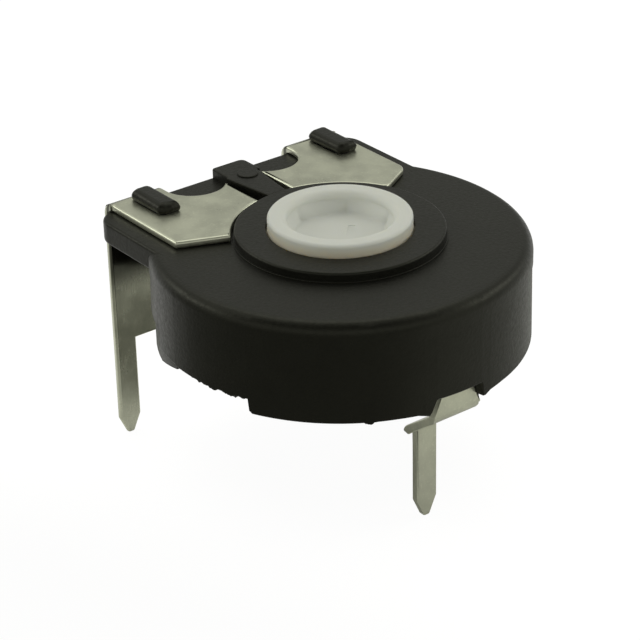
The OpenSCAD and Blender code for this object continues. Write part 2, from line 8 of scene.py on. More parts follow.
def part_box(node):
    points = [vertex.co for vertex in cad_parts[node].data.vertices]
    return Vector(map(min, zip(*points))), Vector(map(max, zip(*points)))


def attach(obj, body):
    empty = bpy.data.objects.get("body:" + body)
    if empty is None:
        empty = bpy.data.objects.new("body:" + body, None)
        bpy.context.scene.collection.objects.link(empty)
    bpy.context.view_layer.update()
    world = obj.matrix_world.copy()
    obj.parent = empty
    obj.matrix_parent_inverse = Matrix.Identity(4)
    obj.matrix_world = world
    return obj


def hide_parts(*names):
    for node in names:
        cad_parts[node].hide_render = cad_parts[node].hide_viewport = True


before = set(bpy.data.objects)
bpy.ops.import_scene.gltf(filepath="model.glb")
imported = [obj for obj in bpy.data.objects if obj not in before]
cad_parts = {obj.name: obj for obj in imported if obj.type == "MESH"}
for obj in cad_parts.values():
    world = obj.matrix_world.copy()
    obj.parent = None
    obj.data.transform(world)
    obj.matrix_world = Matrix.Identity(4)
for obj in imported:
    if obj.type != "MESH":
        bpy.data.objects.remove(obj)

bl_info = {
    "name": "Trimmer potentiometer looks",
    "version": (1, 0, 0),
    "blender": (4, 5, 0),
    "location": "3D View > Sidebar > Trimmer",
    "description": "Dresses the packed trimmer potentiometer with its visible pieces, finishes and studio",
    "category": "Object",
}

MM = 0.001

# Places closer together than this, in millimetres, count as one.
TINY = 1e-6

# Angles between neighbouring faces, in radians: a flat region's faces differ by less than
# FLAT_ANGLE, and a rim that gets a round edge is steeper than RIM_ANGLE.
FLAT_ANGLE = 0.006
RIM_ANGLE = 1.2

# Faces that meet at more than this angle, in degrees, keep a sharp edge between them.
SHARP_ANGLE = 38.0


def lowest(node):
    """The lowest height of a CAD node, in millimetres."""
    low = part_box(node)[0]
    return low[2] / MM


def distance(x, y, centre=(0.0, 0.0)):
    """How far a place lies from a centre, seen from above."""
    across, along = x - centre[0], y - centre[1]
    return (across * across + along * along) ** 0.5


class Sum:
    """A socket of a node tree that takes part in plain Python arithmetic."""

    def __init__(self, maker, socket):
        self.maker = maker
        self.socket = socket

    def _with(self, operation, other, swap=False):
        pair = [other, self] if swap else [self, other]
        return self.maker.number("ShaderNodeMath", {"operation": operation}, pair)

    def __add__(self, other):
        return self._with("ADD", other)

    __radd__ = __add__

    def __sub__(self, other):
        return self._with("SUBTRACT", other)

    def __rsub__(self, other):
        return self._with("SUBTRACT", other, True)

    def __mul__(self, other):
        return self._with("MULTIPLY", other)

    __rmul__ = __mul__

    def __truediv__(self, other):
        return self._with("DIVIDE", other)

    def __pow__(self, other):
        return self._with("POWER", other)

    def above(self, other):
        """1 where this is greater than the other, else 0."""
        return self._with("GREATER_THAN", other)

    def clamped(self):
        """Held between 0 and 1."""
        return self.maker.number("ShaderNodeClamp", None, [self])

    def spread(self):
        """A noise's usual values brought to between 0 and 1."""
        return self.over(0.3, 0.7)

    def over(self, low, high):
        """0 below low, 1 above high, and smooth between them."""
        return self.maker.number(
            "ShaderNodeMapRange",
            {"interpolation_type": "SMOOTHSTEP", "clamp": True},
            {"Value": self, "From Min": low, "From Max": high},
        )


class Tree:
    """Adds nodes to a node tree."""

    def __init__(self, tree):
        self.tree = tree
        self.tree.nodes.clear()

    def node(self, kind, settings=None, inputs=None):
        """One node of a kind: its settings first, then its sockets' values or links."""
        made = self.tree.nodes.new(kind)
        for key, value in (settings or {}).items():
            setattr(made, key, value)
        pairs = enumerate(inputs) if isinstance(inputs, (list, tuple)) else (inputs or {}).items()
        for key, value in pairs:
            socket = made.inputs[key]
            if isinstance(value, Sum):
                self.tree.links.new(value.socket, socket)
            elif isinstance(value, bpy.types.NodeSocket):
                self.tree.links.new(value, socket)
            else:
                socket.default_value = value
        return made

    def number(self, kind, settings, inputs):
        return Sum(self, self.node(kind, settings, inputs).outputs[0])

    def split(self, vector):
        """The three parts of a vector."""
        parts = self.node("ShaderNodeSeparateXYZ", None, {"Vector": vector}).outputs
        return [Sum(self, part) for part in parts]

    def joined(self, x, y, z):
        """A vector of three parts."""
        return self.node("ShaderNodeCombineXYZ", None, [x, y, z]).outputs[0]


class Finish(Tree):
    """Builds one material from nodes."""

    def __init__(self, name):
        self.material = bpy.data.materials.new(name)
        self.material.use_nodes = True
        super().__init__(self.material.node_tree)
        self.output = self.node("ShaderNodeOutputMaterial")
        self.place = self.node("ShaderNodeTexCoord").outputs["Object"]

    def axes(self):
        """X, Y and Z of the place, each in millimetres."""
        return [part * (1 / MM) for part in self.split(self.place)]

    def stretched(self, x, y, z):
        """The place with each axis scaled."""
        words = {"Vector": self.place, "Scale": (x, y, z)}
        return self.node("ShaderNodeMapping", None, words).outputs[0]

    def noise(self, per_mm, detail=2.0, roughness=0.5, place=None):
        words = {"Vector": place or self.place, "Scale": per_mm / MM}
        words.update({"Detail": detail, "Roughness": roughness})
        return Sum(self, self.node("ShaderNodeTexNoise", None, words).outputs["Fac"])

    def mix(self, factor, first, second):
        """A colour between two."""
        factor_input, first_colour, second_colour, colour_output = 0, 6, 7, 2
        inputs = {factor_input: factor, first_colour: first, second_colour: second}
        return self.node("ShaderNodeMix", {"data_type": "RGBA"}, inputs).outputs[colour_output]

    def bump(self, height, strength, distance_mm):
        words = {"Height": height, "Strength": strength, "Distance": distance_mm * MM}
        return self.node("ShaderNodeBump", None, words).outputs["Normal"]

    def principled(self, **inputs):
        words = {name.replace("_", " "): value for name, value in inputs.items()}
        made = self.node("ShaderNodeBsdfPrincipled", None, words)
        self.tree.links.new(made.outputs[0], self.output.inputs["Surface"])
        return self.material


class Rule(Tree):
    """A Geometry Nodes tree with named inputs. Lengths are in millimetres."""

    def __init__(self, name, **inputs):
        super().__init__(bpy.data.node_groups.new(name, "GeometryNodeTree"))
        self.tree.is_modifier = True
        face = self.tree.interface
        face.new_socket("Geometry", in_out="OUTPUT", socket_type="NodeSocketGeometry")
        face.new_socket("Geometry", in_out="INPUT", socket_type="NodeSocketGeometry")
        face.new_socket("Material", in_out="INPUT", socket_type="NodeSocketMaterial")
        for label, value in inputs.items():
            kind = "NodeSocketInt" if isinstance(value, int) else "NodeSocketFloat"
            face.new_socket(label, in_out="INPUT", socket_type=kind).default_value = value
        self.start = self.node("NodeGroupInput")
        self.end = self.node("NodeGroupOutput")

    def __getitem__(self, label):
        return Sum(self, self.start.outputs[label])

    def position(self):
        return self.split(self.node("GeometryNodeInputPosition").outputs[0])

    def moved(self, geometry, position):
        """The geometry with each point at a new position."""
        words = {"Geometry": geometry, "Position": position}
        return self.node("GeometryNodeSetPosition", None, words).outputs[0]

    def noise(self, scale, seed):
        """Noise of the position, from about 0.2 to 0.8."""
        words = {"W": seed, "Scale": scale, "Detail": 2.0}
        return Sum(self, self.node("ShaderNodeTexNoise", {"noise_dimensions": "4D"}, words).outputs[0])

    def finish(self, geometry):
        whole = self.node("GeometryNodeRealizeInstances", None, [geometry]).outputs[0]
        words = {"Geometry": whole, "Material": self["Material"]}
        painted = self.node("GeometryNodeSetMaterial", None, words).outputs[0]
        self.tree.links.new(painted, self.end.inputs["Geometry"])
        return self

    def apply(self, piece, **values):
        """Runs the rule on a piece and keeps its result as a plain mesh."""
        change = piece.modifiers.new("rule", "NODES")
        change.node_group = self.tree
        values["Material"] = piece.data.materials[0]
        for item in self.tree.interface.items_tree:
            if item.in_out == "INPUT" and item.name in values:
                change[item.identifier] = values[item.name]
        keep_plain(piece)


def keep_plain(piece):
    """Keeps what the piece's modifiers make as its mesh, and removes them."""
    bpy.context.view_layer.update()
    graph = bpy.context.evaluated_depsgraph_get()
    material = piece.data.materials[0]
    made = bpy.data.meshes.new_from_object(
        piece.evaluated_get(graph), preserve_all_data_layers=True, depsgraph=graph
    )
    piece.modifiers.clear()
    piece.data = made
    made.materials.clear()
    made.materials.append(material)


def rounded(corners, steps=4):
    """A closed outline from (x, y) or (x, y, radius) corners."""
    outline = []
    for i, corner in enumerate(corners):
        here = Vector(corner[:2])
        radius = corner[2] if len(corner) > 2 else 0.0
        if radius <= 0.0:
            outline.append(here)
            continue
        before = (Vector(corners[i - 1][:2]) - here).normalized()
        after = (Vector(corners[(i + 1) % len(corners)][:2]) - here).normalized()
        half = before.angle(after) / 2
        centre = here + (before + after).normalized() * radius / math.sin(half)
        outline += arc(
            centre,
            here + before * radius / math.tan(half),
            here + after * radius / math.tan(half),
            steps,
        )
    return outline


def arc(centre, start, finish, steps, the_long_way=False):
    """Points on a circle round the centre, from start to finish."""
    centre, first = Vector(centre), Vector(start) - Vector(centre)
    last = Vector(finish) - centre
    begin = math.atan2(first.y, first.x)
    turn = (math.atan2(last.y, last.x) - begin + math.pi) % (2 * math.pi) - math.pi
    if the_long_way:
        turn -= math.copysign(2 * math.pi, turn)
    radius = first.length
    angles = [begin + turn * k / steps for k in range(steps + 1)]
    return [centre + Vector((math.cos(a), math.sin(a))) * radius for a in angles]


def circle(x, y, radius, steps=32):
    turns = [2 * math.pi * k / steps for k in range(steps)]
    return [Vector((x + radius * math.cos(a), y + radius * math.sin(a))) for a in turns]


def stadium(x, y, length, width, steps=10):
    """Outline of an oblong along Y with round ends."""
    run, half = (length - width) / 2, width / 2
    rear = arc((x, y + run), (x + half, y + run), (x - half, y + run + TINY), steps)
    front = arc((x, y - run), (x - half, y - run), (x + half, y - run - TINY), steps)
    return rear + front


def prism(loops, low, high, edge, steps=2, cuts=()):
    """A closed upright shell of one outline and its holes, with rounded top and bottom edges.

    cuts are places along Y where the shell gets an extra row of points.
    """
    shell = bmesh.new()
    edges = []
    for loop in loops:
        points = [shell.verts.new((x, y, low)) for x, y in loop]
        edges += [shell.edges.new(pair) for pair in zip(points, points[1:] + points[:1])]
    bmesh.ops.triangle_fill(shell, use_beauty=True, use_dissolve=False, edges=edges)
    for place in cuts:
        everything = shell.verts[:] + shell.edges[:] + shell.faces[:]
        bmesh.ops.bisect_plane(shell, geom=everything, plane_co=(0, place, 0), plane_no=(0, 1, 0))
    raised = bmesh.ops.extrude_face_region(shell, geom=shell.faces[:])["geom"]
    for vert in raised:
        if isinstance(vert, bmesh.types.BMVert):
            vert.co.z = high
    bmesh.ops.recalc_face_normals(shell, faces=shell.faces)
    if edge > 0:
        rims = [e for e in shell.edges if len(e.link_faces) == 2 and e.calc_face_angle() > RIM_ANGLE
                and abs(e.verts[0].co.z - e.verts[1].co.z) < TINY]
        bmesh.ops.bevel(shell, geom=rims, offset=edge, segments=steps, profile=0.5,
                        affect="EDGES", clamp_overlap=False)
    return shell


def turned(profile, angles, shape):
    """A closed shell turned round Z from (radius, height) points.

    The first and last points are joined, or both lie on the axis. angles is a count or a
    list of degrees. shape(degrees, radius, height) gives the radius and height of a point
    that isn't on the axis.
    """
    if isinstance(angles, int):
        angles = [360.0 * k / angles for k in range(angles)]
    shell = bmesh.new()
    rings = []
    for radius, height in profile:
        if radius < TINY:
            rings.append([shell.verts.new((0, 0, height))])
            continue
        ring = []
        for angle in angles:
            r, z = shape(angle, radius, height)
            turn = math.radians(angle)
            ring.append(shell.verts.new((r * math.cos(turn), r * math.sin(turn), z)))
        rings.append(ring)
    pairs = list(zip(rings, rings[1:]))
    if len(rings[0]) > 1:
        pairs.append((rings[-1], rings[0]))
    count = len(angles)
    for one, two in pairs:
        for i in range(count):
            j = (i + 1) % count
            corners = [one[i % len(one)], one[j % len(one)], two[j % len(two)], two[i % len(two)]]
            shell.faces.new(list(dict.fromkeys(corners)))
    bmesh.ops.recalc_face_normals(shell, faces=shell.faces)
    return shell


def make_piece(name, shells, material):
    """One object, still in millimetres, of several closed shells."""
    whole = bmesh.new()
    for shell in shells:
        part = bpy.data.meshes.new("part")
        shell.to_mesh(part)
        shell.free()
        whole.from_mesh(part)
        bpy.data.meshes.remove(part)
    mesh = bpy.data.meshes.new(name)
    whole.to_mesh(mesh)
    whole.free()
    mesh.materials.append(material)
    piece = bpy.data.objects.new(name, mesh)
    bpy.context.scene.collection.objects.link(piece)
    return piece


def absorb(piece, other):
    """Adds another piece's mesh to this one and removes the other."""
    whole = bmesh.new()
    whole.from_mesh(piece.data)
    whole.from_mesh(other.data)
    whole.to_mesh(piece.data)
    whole.free()
    bpy.data.objects.remove(other)


def carve(piece, shells):
    """Cuts closed shells out of a piece."""
    cutter = make_piece("cutter", shells, piece.data.materials[0])
    change = piece.modifiers.new("cut", "BOOLEAN")
    change.operation = "DIFFERENCE"
    change.solver = "EXACT"
    change.object = cutter
    keep_plain(piece)
    bpy.data.objects.remove(cutter)


def flat_areas(whole):
    """For each face of a bmesh, the area of the flat region that it belongs to."""
    areas = [0.0] * len(whole.faces)
    seen = set()
    for first in whole.faces:
        if first in seen:
            continue
        seen.add(first)
        region, queue = [first], [first]
        while queue:
            for edge in queue.pop().edges:
                if len(edge.link_faces) != 2 or edge.calc_face_angle() > FLAT_ANGLE:
                    continue
                for face in edge.link_faces:
                    if face not in seen:
                        seen.add(face)
                        region.append(face)
                        queue.append(face)
        total = sum(face.calc_area() for face in region)
        for face in region:
            areas[face.index] = total
    return areas


def smooth(mesh):
    """Corner normals that keep flat regions flat and blend the rounds between them.

    At each corner the largest flat region counts most, and a face's own size only a little.
    """
    region_power, face_power = 2, 0.2
    limit = math.cos(math.radians(SHARP_ANGLE))
    whole = bmesh.new()
    whole.from_mesh(mesh)
    whole.faces.ensure_lookup_table()
    areas = flat_areas(whole)
    normals = []
    for face in whole.faces:
        face.smooth = True
        face.material_index = 0
        for corner in face.loops:
            total = Vector()
            for other in corner.vert.link_faces:
                if other.normal.dot(face.normal) > limit:
                    weight = areas[other.index] ** region_power * other.calc_area() ** face_power
                    total += other.normal * weight
            normals.append(total.normalized() if total.length > 0 else face.normal.copy())
    whole.to_mesh(mesh)
    whole.free()
    mesh.normals_split_custom_set(normals)


def settle(piece, body, slot, *nodes):
    """Shades a finished piece, brings it to metres, and hands it to the frame."""
    smooth(piece.data)
    piece.data.transform(Matrix.Scale(MM, 4))
    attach(piece, body)
    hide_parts(*nodes)


def rgba(colour, factor=1.0):
    return (colour[0] * factor, colour[1] * factor, colour[2] * factor, 1.0)


def varied(factor, middle, swing):
    """A value that swings about its middle as a factor goes from 0 to 1."""
    return factor * swing + (middle - swing / 2)


def black_plastic(name, colour, roughness, grain):
    """Moulded black plastic: grain is the depth of its fine texture, from 0 to 1."""
    finish = Finish(name)
    fine = finish.noise(per_mm=7.0, detail=3.0, roughness=0.65)
    broad = finish.noise(per_mm=0.6)
    return finish.principled(
        Base_Color=finish.mix(broad.over(0.35, 0.65), rgba(colour, 0.85), rgba(colour, 1.15)),
        Roughness=varied(fine.spread(), roughness, 0.12),
        Normal=finish.bump(fine, grain, 0.02),
        Specular_IOR_Level=0.28,
        Specular_Tint=(1.0, 1.0, 0.82, 1.0),
        Sheen_Weight=0.05,
        Sheen_Roughness=0.3,
    )


def white_plastic(name, colour):
    """White plastic, a little see-through, that is warmer low on the collar's outside."""
    finish = Finish(name)
    x, y, z = finish.axes()
    warm_colour = (0.78, 0.73, 0.60)
    outside = distance(x, y).over(2.45, 2.65)
    low = 1 - z.over(6.42, 6.8)
    return finish.principled(
        Base_Color=finish.mix(outside * low, rgba(colour), rgba(warm_colour)),
        Roughness=0.45,
        Normal=finish.bump(finish.noise(per_mm=1.2), 0.1, 0.02),
        Subsurface_Weight=0.6,
        Subsurface_Radius=(1.0, 0.95, 0.8),
        Subsurface_Scale=0.6 * MM,
    )


def tin_plate(name, colour, roughness):
    """Tin-plated sheet: faint rolling lines along Y, cloudy patches and bright specks.

    The end legs are smoother; their inner faces get painted shade towards the top, behind the housing.
    """
    # The last factor scales the colour of the painted shade on the end legs' inner faces.
    leg_metal, leg_polish, painted_shade_factor = 0.07, 0.1, 0.2
    finish = Finish(name)
    y, z = finish.axes()[1:]
    leg = y.over(7.3, 7.4)
    inner_face = leg * (1 - y.over(7.5, 7.6))
    cloud = finish.noise(per_mm=0.9, detail=3.0, roughness=0.6)
    specks = finish.noise(per_mm=9.0, roughness=0.6)
    lines = finish.noise(per_mm=1.0, place=finish.stretched(14.0, 1.0, 1.0))
    cloudy = finish.mix(cloud.spread(), rgba(colour, 0.9), rgba(colour, 1.06))
    bright = finish.mix(specks.over(0.56, 0.72) * 0.4, cloudy, rgba(colour, 1.25))
    gloss = varied(cloud.spread(), roughness, 0.1) + varied(lines, 0.0, 0.08)
    return finish.principled(
        # Painted shade: the legs' inner faces darken towards the top, standing in for the housing's shadow
        # and dark reflection.
        Base_Color=finish.mix(inner_face * z.over(1.9, 3.4), bright, rgba(colour, painted_shade_factor)),
        Metallic=leg * leg_metal + (1 - leg_metal),
        Roughness=gloss - leg * leg_polish,
        Normal=finish.bump(cloud + specks * 0.12, 0.2, 0.02),
    )


def mottled(name, colour, roughness, grain, stretch=1.0, metallic=0.0):
    """A finish of small patches: grain of them per millimetre, narrowed by stretch along X."""
    finish = Finish(name)
    place = finish.stretched(stretch, 1.0, 1.0)
    patches = finish.noise(per_mm=grain, detail=3.0, roughness=0.6, place=place)
    return finish.principled(
        Base_Color=finish.mix(patches.spread(), rgba(colour, 0.85), rgba(colour, 1.12)),
        Metallic=metallic,
        Roughness=varied(patches.spread(), roughness, 0.12),
        Normal=finish.bump(patches, 0.2, 0.01),
    )


def dress_node(node, material):
    """Puts a finish on a CAD node's own slots."""
    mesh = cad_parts[node].data
    mesh.materials.clear()
    mesh.materials.append(material)


class TrimmerShape(bpy.types.PropertyGroup):
    """Sizes of the small forms that the visible pieces add to the CAD model."""

    rim_round: bpy.props.FloatProperty(
        name="Rim round", description="Radius of the roof's round edge, in millimetres",
        min=0.1, max=0.7, default=0.5,
    )
    flash_depth: bpy.props.FloatProperty(
        name="Flash depth", description="Depth of the ragged flash under the skirt, in millimetres",
        min=0.0, max=0.3, default=0.12,
    )
    head_round: bpy.props.FloatProperty(
        name="Head round", description="Radius on the staked heads' upper edges, in millimetres",
        min=0.05, max=0.4, default=0.26,
    )
    sheet_round: bpy.props.FloatProperty(
        name="Sheet round", description="Radius on the cut edges of the end terminals, in millimetres",
        min=0.02, max=0.12, default=0.11,
    )
    flash_seed: bpy.props.IntProperty(
        name="Flash seed", description="Seed of the flash and of the heads' rough shape",
        min=0, default=7,
    )


class TrimmerFinishes(bpy.types.PropertyGroup):
    """Colours and gloss of the visible pieces."""

    housing_colour: bpy.props.FloatVectorProperty(
        name="Housing colour", description="Colour of the black moulded housing",
        subtype="COLOR", size=3, min=0.0, max=1.0, default=(0.0055, 0.0055, 0.0043),
    )
    housing_roughness: bpy.props.FloatProperty(
        name="Housing roughness", description="How matt the black plastic is",
        subtype="FACTOR", min=0.1, max=1.0, default=0.38,
    )
    rotor_colour: bpy.props.FloatVectorProperty(
        name="Rotor colour", description="Colour of the white rotor",
        subtype="COLOR", size=3, min=0.0, max=1.0, default=(0.74, 0.75, 0.71),
    )
    tin_colour: bpy.props.FloatVectorProperty(
        name="Tin colour", description="Colour of the tin-plated sheet",
        subtype="COLOR", size=3, min=0.0, max=1.0, default=(0.62, 0.63, 0.51),
    )
    tin_roughness: bpy.props.FloatProperty(
        name="Tin roughness", description="How matt the tin plating is",
        subtype="FACTOR", min=0.1, max=1.0, default=0.33,
    )


class TrimmerStage(bpy.types.PropertyGroup):
    """Light and camera."""

    key_power: bpy.props.FloatProperty(
        name="Key power", description="Power of the large lamp overhead",
        unit="POWER", min=0.0, default=0.03,
    )
    surround: bpy.props.FloatProperty(
        name="Surround", description="Strength of the light from the studio's white ceiling",
        min=0.0, default=0.5,
    )
    lens: bpy.props.FloatProperty(
        name="Lens", description="Focal length of the camera, in millimetres on a 36 mm sensor",
        min=20.0, default=134.28,
    )


# Sizes in millimetres that the visible pieces share with the CAD model: R is a radius,
# and Y and Z are places.
BODY_R = 7.2
DECK_Z = 6.0
RING_Z = 6.4
BAND_Z = 5.1
ROOF_UNDER_Z = 5.0
RING_R = 3.98
HOLE_R = 2.85
SHEET = 0.3
BEND_R = 0.35
LEG_Y = 7.625
BEND_Y = LEG_Y - BEND_R
PLATE_MID = DECK_Z + SHEET / 2
PIN_HALF = 0.475
TIP_HALF = 0.13
TIP_ROUND = 0.1
TIP_LENGTH = 0.75
HEADS = ((-4.13, 6.2), (4.52, 6.29))

# Directions seen from above, in degrees from +X: the rotor's mark at rest, where the ragged
# flash hangs from the skirt, and where the skirt has a point every half degree for it.
REST_TURN = 45.0
FLASH = ((-178.0, -157.0), (-122.0, -118.0))
FINE_STEPS = ((-179, -156), (-122, -118))

# The photo's camera: place in millimetres, turns in degrees.
CAMERA_PLACE = (-49.267, -63.523, 44.734)
CAMERA_AZIMUTH = -37.201
CAMERA_ELEVATION = 27.751
CAMERA_ROLL = -1.32

# The studio's light: its colour, and the level directions to the rear and to the right as
# the camera sees them.
STUDIO_TINT = (1.0, 1.01, 0.93)
REARWARD = (0.61, 0.79)
ACROSS = (0.797, -0.605)

# Lower edge of the skirt: direction in degrees from +X, and height in millimetres.
SKIRT_EDGE = (
    (-180.0, 2.6), (-156.2, 2.6), (-155.8, 2.12), (-154.9, 2.03), (-112.0, 2.0),
    (-106.0, 1.98), (-103.6, 1.9), (-102.3, 1.86), (-101.7, 1.96), (-100.2, 2.38),
    (-99.8, 2.45), (-83.6, 2.45), (-83.1, 2.35), (-82.6, 1.86), (-81.8, 1.84),
    (-79.5, 1.95), (-74.0, 1.99), (-25.0, 2.0), (-24.5, 2.6), (6.0, 2.6), (6.4, 2.65),
    (18.8, 2.65), (19.2, 3.4), (38.8, 3.4), (39.2, 2.6), (140.8, 2.6), (141.2, 3.4),
    (160.8, 3.4), (161.2, 2.65), (173.6, 2.65), (174.0, 2.6), (180.0, 2.6),
)


def skirt_edge(angle):
    for (a0, z0), (a1, z1) in zip(SKIRT_EDGE, SKIRT_EDGE[1:]):
        if a0 <= angle <= a1:
            return z0 + (z1 - z0) * (angle - a0) / (a1 - a0)
    raise ValueError(f"no skirt edge at {angle} degrees")


def drum_shell(rim_round):
    """Skirt, roof and raised ring in one turned shell whose lower edge follows skirt_edge."""
    low, low_part = 2.0, 2.5
    lip, lip_low = 0.06, 6.25
    step = 0.06
    groove_depth, groove_height = 0.03, 0.08
    wall, seat_r, inner_r, seat_z = 0.68, 6.5, 6.3, 2.95
    profile = rounded([
        (HOLE_R, ROOF_UNDER_Z), (HOLE_R, lip_low), (HOLE_R - lip, lip_low + 0.05),
        (HOLE_R - lip, RING_Z, 0.03), (RING_R, RING_Z, 0.1), (RING_R, DECK_Z + step),
        (RING_R + step, DECK_Z + step, 0.02), (RING_R + step, DECK_Z), (BODY_R, DECK_Z, rim_round),
        (BODY_R, BAND_Z), (BODY_R - groove_depth, BAND_Z - groove_height), (BODY_R, low, 0.08),
        (BODY_R - wall, low, 0.05), (seat_r, seat_z), (inner_r, seat_z), (inner_r, ROOF_UNDER_Z),
    ], steps=6)

    def follow(angle, radius, height):
        edge = skirt_edge(angle)
        return (radius, edge + height - low) if height < low_part else (radius, max(height, edge))

    fine = [half / 2 for first, last in FINE_STEPS for half in range(2 * first, 2 * last + 1)]
    even = [float(angle) for angle in range(-180, 180, 2)]
    corners = [angle for angle, height in SKIRT_EDGE if angle < 180]
    return turned(profile, sorted(set(fine + even + corners)), follow)


def flash_rule():
    """Lets points under the skirt's outer edge hang down by noise, between two directions."""
    edge_width, waves_per_mm, calm, gain = 0.3, 4.0, 0.42, 4
    rule = Rule("Ragged edge", First=-178.0, Last=-157.0, Depth=0.12, Ceiling=2.75, Seed=1)
    x, y, z = rule.position()
    angle = rule.number("ShaderNodeMath", {"operation": "ARCTAN2"}, [y, x]) * (180 / math.pi)
    along = angle.above(rule["First"]) * rule["Last"].above(angle)
    where = along * distance(x, y).above(BODY_R - edge_width) * rule["Ceiling"].above(z)
    wave = (rule.noise(waves_per_mm, rule["Seed"]) - calm).clamped()
    drop = wave * rule["Depth"] * gain
    geometry = rule.start.outputs["Geometry"]
    return rule.finish(rule.moved(geometry, rule.joined(x, y, z - drop * where)))


def heads_rule():
    """Sets a rough staked head on each side of the deck."""
    waves_per_mm, middle, gain = 1.9, 0.5, 2
    foot_z = DECK_Z + SHEET + 0.02
    (left_x, left_y), (right_x, right_y) = HEADS
    rule = Rule("Staked heads", LeftX=left_x, LeftY=left_y, RightX=right_x, RightY=right_y,
                Roughness=0.09, Seed=1)
    first = rule.joined(rule["LeftX"], rule["LeftY"], 0.0)
    step = rule.joined(rule["RightX"] - rule["LeftX"], rule["RightY"] - rule["LeftY"], 0.0)
    line_words = {"Count": 2, "Start Location": first, "Offset": step}
    line = rule.node("GeometryNodeMeshLine", None, line_words).outputs[0]
    pair_words = {"Points": line, "Instance": rule.start.outputs["Geometry"]}
    pair = rule.node("GeometryNodeInstanceOnPoints", None, pair_words).outputs[0]
    whole = rule.node("GeometryNodeRealizeInstances", None, [pair]).outputs[0]
    x, y, z = rule.position()
    upper = z.above(foot_z)
    waves = [rule.noise(waves_per_mm, rule["Seed"] + k) - middle for k in range(3)]
    swell = [wave * rule["Roughness"] * gain for wave in waves]
    shifted = rule.joined(x + swell[0] * upper, y + swell[1] * upper, z + swell[2] * upper)
    return rule.finish(rule.moved(whole, shifted))


def bend_rule():
    """Bends a flat strip that runs along +Y about a line across it.

    Start is where the bend begins, Radius its middle radius, Middle the height of the
    sheet's middle, and Angle the turn in degrees: positive turns down, negative up.
    """
    rule = Rule("Bend", Start=0.0, Radius=0.35, Middle=0.0, Angle=90.0)
    x, y, z = rule.position()
    turn = rule["Angle"] * (math.pi / 180)
    size = rule.number("ShaderNodeMath", {"operation": "ABSOLUTE"}, [turn])
    sign = rule.number("ShaderNodeMath", {"operation": "SIGN"}, [turn])
    length = size * rule["Radius"]
    part = ((y - rule["Start"]) / length).clamped()
    pivot = rule.joined(0.0, rule["Start"], rule["Middle"] - sign * rule["Radius"])
    words = {"Vector": rule.joined(x, y - part * length, z), "Center": pivot}
    words["Angle"] = part * turn * -1
    spun = rule.node("ShaderNodeVectorRotate", {"rotation_type": "X_AXIS"}, words).outputs[0]
    return rule.finish(rule.moved(rule.start.outputs["Geometry"], spun))


def bend_rows(start, angle, rows=8):
    """Places along Y where a strip needs points to bend smoothly."""
    length = BEND_R * math.radians(abs(angle))
    return [start + length * k / rows for k in range(rows + 1)]


class TRIMMER_OT_inner_works(bpy.types.Operator):
    """Gives the pieces inside the housing their finishes"""

    bl_idname = "trimmer.inner_works"
    bl_label = "Inner works"

    def execute(self, context):
        laminate = mottled("brown laminate", (0.36, 0.18, 0.08), 0.6, 2.0, stretch=5.0)
        carbon = mottled("carbon film", (0.02, 0.02, 0.02), 0.5, 12.0)
        silver = mottled("silver film", (0.72, 0.72, 0.7), 0.5, 9.0, metallic=1.0)
        bronze = mottled("spring bronze", (0.64, 0.45, 0.2), 0.35, 1.0, stretch=14.0, metallic=1.0)
        dress_node("element_base", laminate)
        dress_node("carbon_track", carbon)
        dress_node("end_pads", silver)
        dress_node("wiper_contact", bronze)
        return {"FINISHED"}


class TRIMMER_OT_housing(bpy.types.Operator):
    """Builds the black housing with its staked heads, and dresses its bottom cover"""

    bl_idname = "trimmer.housing"
    bl_label = "Housing"

    def execute(self, context):
        looks, shape = context.scene.trimmer_finishes, context.scene.trimmer_shape
        black = black_plastic("black housing", looks.housing_colour, looks.housing_roughness, 0.5)
        cover = black_plastic("black cover", looks.housing_colour, looks.housing_roughness, 0.25)
        dress_node("bottom_cover", cover)

        drum = make_piece("housing_body", [drum_shell(shape.rim_round)], black)
        flash = flash_rule()
        seed = shape.flash_seed
        for first, last in FLASH:
            flash.apply(drum, First=first, Last=last, Depth=shape.flash_depth, Seed=seed)
        absorb(drum, make_piece("deck", self.deck_shells(), black))
        settle(drum, "housing", "housing_plastic", "housing")

        heads = make_piece("staked_heads", [self.head_shell(shape.head_round)], black)
        heads_rule().apply(heads, Seed=seed)
        settle(heads, "housing", "housing_plastic", "housing")
        return {"FINISHED"}

    @staticmethod
    def head_shell(head_round):
        """One staked head round its own middle: a little crooked, as heat left it."""
        plate_top, sunk, height = DECK_Z + SHEET, 0.08, 0.42
        outline = rounded([
            (-0.44, -1.05, 0.3), (0.05, -1.12, 0.1), (0.5, -1.1, 0.14),
            (0.46, 1.08, 0.3), (-0.46, 1.1, 0.3),
        ], steps=5)
        return prism([outline], plate_top - sunk, plate_top + height, head_round, steps=5)

    @staticmethod
    def deck_shells():
        """The deck behind the ring, the web along its middle, and the web's small round pad."""
        half, rear, front = 6.15, 7.4, 2.6
        notch_half, notch_front, slope = 2.2, 3.2, 0.75
        deck = rounded([
            (-half, front), (-notch_half - slope, front), (-notch_half, notch_front),
            (notch_half, notch_front), (notch_half + slope, front), (half, front),
            (half, rear, 0.9), (-half, rear, 0.9),
        ], steps=8)
        web_rear = rear - 0.02
        web = rounded([
            (-0.42, 3.9), (0.42, 3.9), (0.74, 6.2), (0.88, 6.24), (0.88, web_rear, 0.25),
            (-0.66, web_rear, 0.15), (-0.66, 6.34), (-0.74, 6.2),
        ])
        pad_x, pad_y, pad_r, pad_height = 0.15, 6.04, 0.42, 0.06
        sunk, deck_proud = 0.02, 0.004
        return [
            prism([deck], BAND_Z, DECK_Z + deck_proud, 0.12, steps=3),
            prism([web], DECK_Z - 0.05, RING_Z, 0.07),
            prism([circle(pad_x, pad_y, pad_r)], RING_Z - sunk, RING_Z + pad_height, 0.04),
        ]


